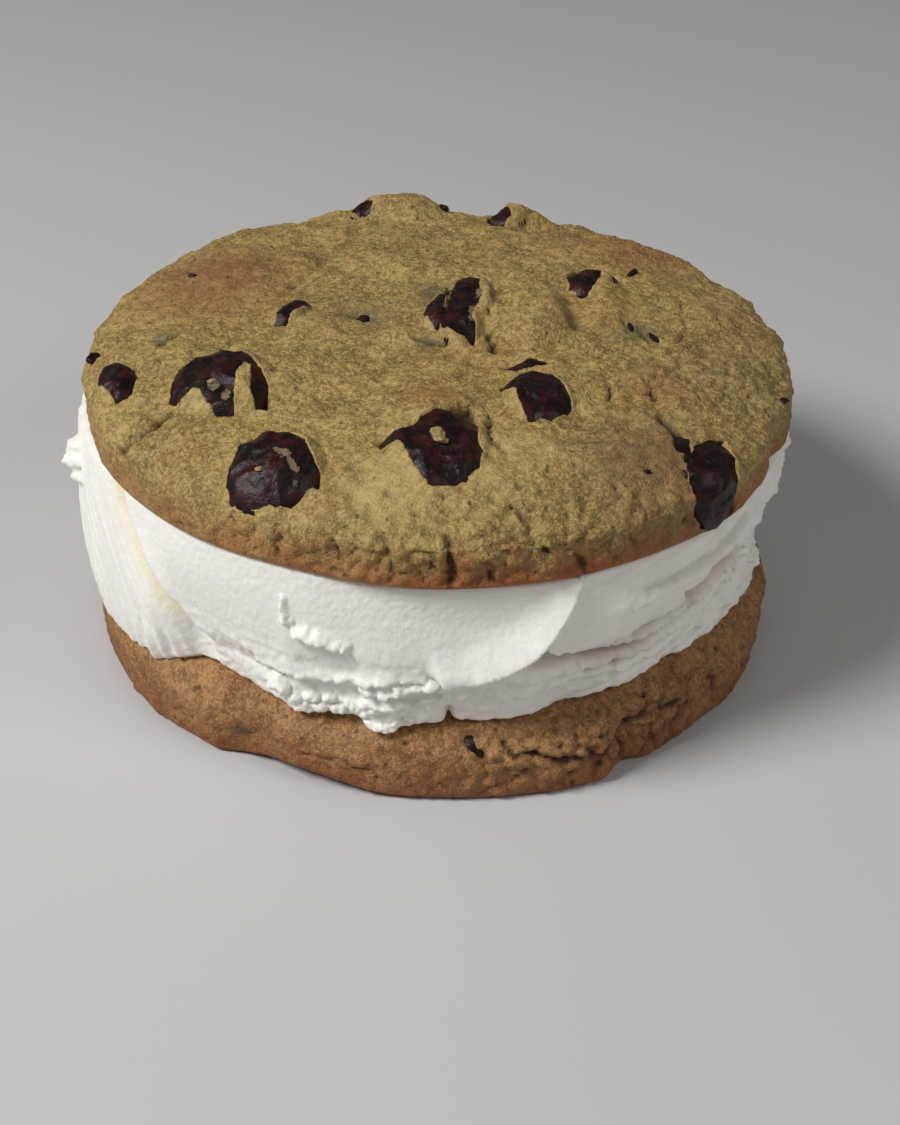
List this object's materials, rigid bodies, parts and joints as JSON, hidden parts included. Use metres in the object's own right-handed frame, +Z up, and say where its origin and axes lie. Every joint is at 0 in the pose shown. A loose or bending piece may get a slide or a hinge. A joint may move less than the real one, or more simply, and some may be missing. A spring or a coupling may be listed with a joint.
{
  "type": "ice cream sandwich",
  "caption": "Round dessert sandwich of vanilla ice cream pressed between chocolate chip cookies, dark chips set in the top, resting on its flat base.",
  "frame": {"origin": "middle of the lower cookie's flat underside", "axes": "+Z up through the stack; -Y towards the front, where the smeared wave of ice cream shows; +X to the right of that view"},
  "size_m": [0.0923, 0.0903, 0.0435],
  "materials": {
    "lower_dough": "baked cookie dough, browned and crumbly",
    "upper_dough": "baked cookie dough, golden and granular",
    "vanilla_ice_cream": "soft vanilla ice cream, spread and scraped",
    "dark_chocolate": "dark chocolate with a faint bloom"
  },
  "bodies": {
    "root": {"lower_cookie": "lower_dough", "ice_cream": "vanilla_ice_cream", "upper_cookie": "upper_dough", "chip_left": "dark_chocolate", "chip_front_left": "dark_chocolate", "chip_front": "dark_chocolate", "chip_front_right": "dark_chocolate", "chip_sunken": "dark_chocolate", "chip_middle": "dark_chocolate", "chip_middle_left": "dark_chocolate", "chip_inner_left": "dark_chocolate", "chip_far_left": "dark_chocolate", "chip_back_right": "dark_chocolate", "chip_back": "dark_chocolate", "chip_back_left": "dark_chocolate", "chip_rim": "dark_chocolate", "chip_low": "dark_chocolate"}
  },
  "joints": []
}
